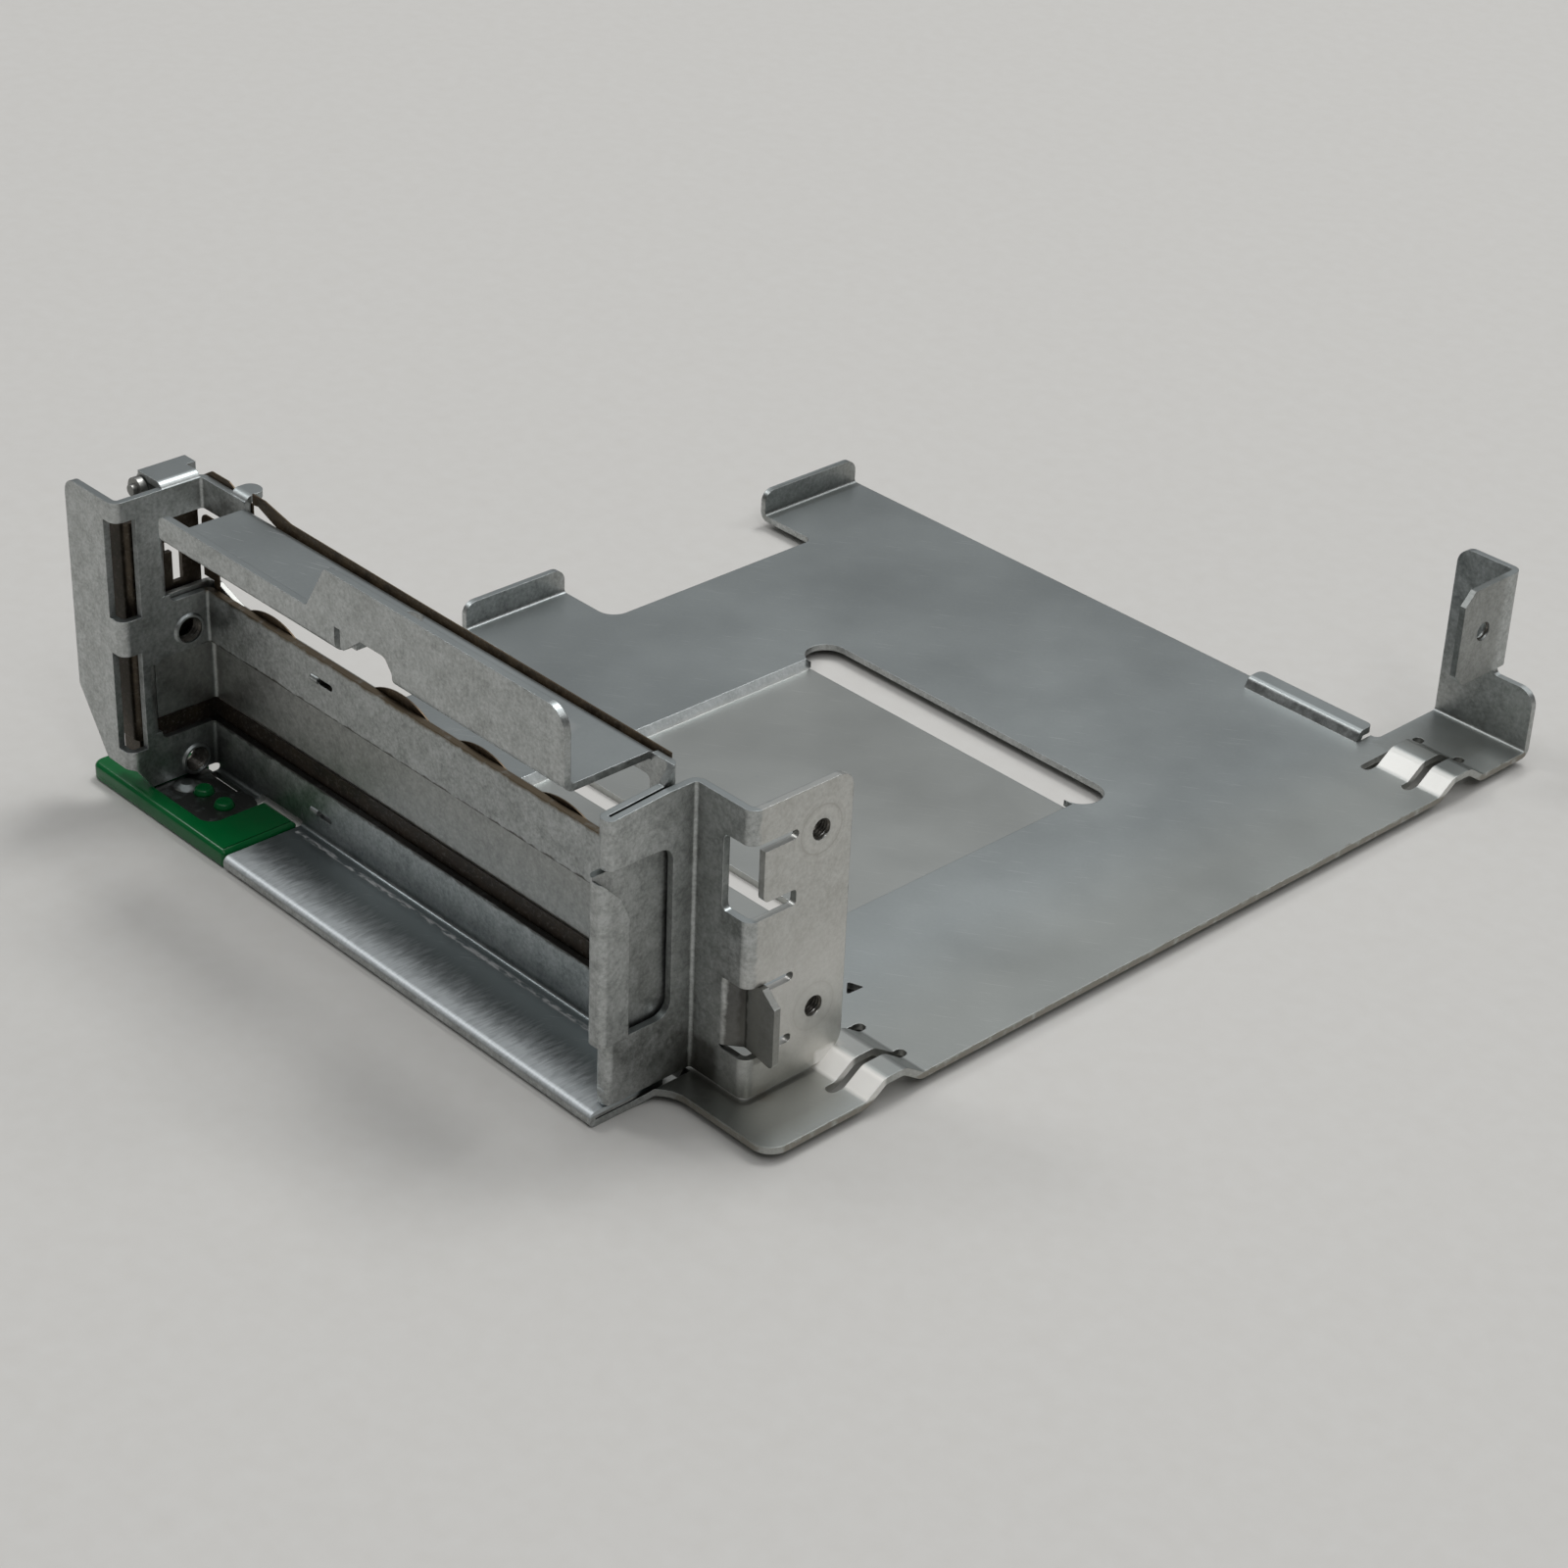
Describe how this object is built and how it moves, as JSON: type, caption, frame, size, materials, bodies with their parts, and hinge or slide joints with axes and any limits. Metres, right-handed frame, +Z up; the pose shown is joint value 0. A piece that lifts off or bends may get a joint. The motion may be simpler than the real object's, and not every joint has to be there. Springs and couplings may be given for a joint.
{
  "type": "riser cage bracket",
  "caption": "Folded steel riser cage with stacked card slots, a rail, a wide plate with upright tabs, a hinged latch and a green touch pad.",
  "frame": {"origin": "middle of the part's outline in plan, on the table under the hem and the lowered panel", "axes": "+X along the card slots from the latch to the tapped plate, +Y from the slot frame over the plate, +Z up"},
  "size_m": [0.1276, 0.1618, 0.0559],
  "materials": {
    "galvanised_steel": "bright galvanised sheet, satin",
    "contact_steel": "thin spring steel, dull and browned",
    "blank_steel": "satin plated sheet",
    "latch_steel": "browned plated sheet",
    "pin_steel": "plain steel wire",
    "green_plastic": "moulded, glossy"
  },
  "bodies": {
    "cage": {"cage_sheet": "galvanised_steel", "contact_plate": "contact_steel", "slot_blank": "blank_steel", "hinge_pin": "pin_steel", "touch_pad": "green_plastic"},
    "latch": {"bracket_latch": "latch_steel"}
  },
  "joints": [
    {"name": "latch_hinge", "type": "hinge", "parent": "cage", "child": "latch", "pos_m": [-0.05672, -0.06935, 0.0456], "axis": [0, 1, 0], "range_deg": [0, 90]}
  ]
}
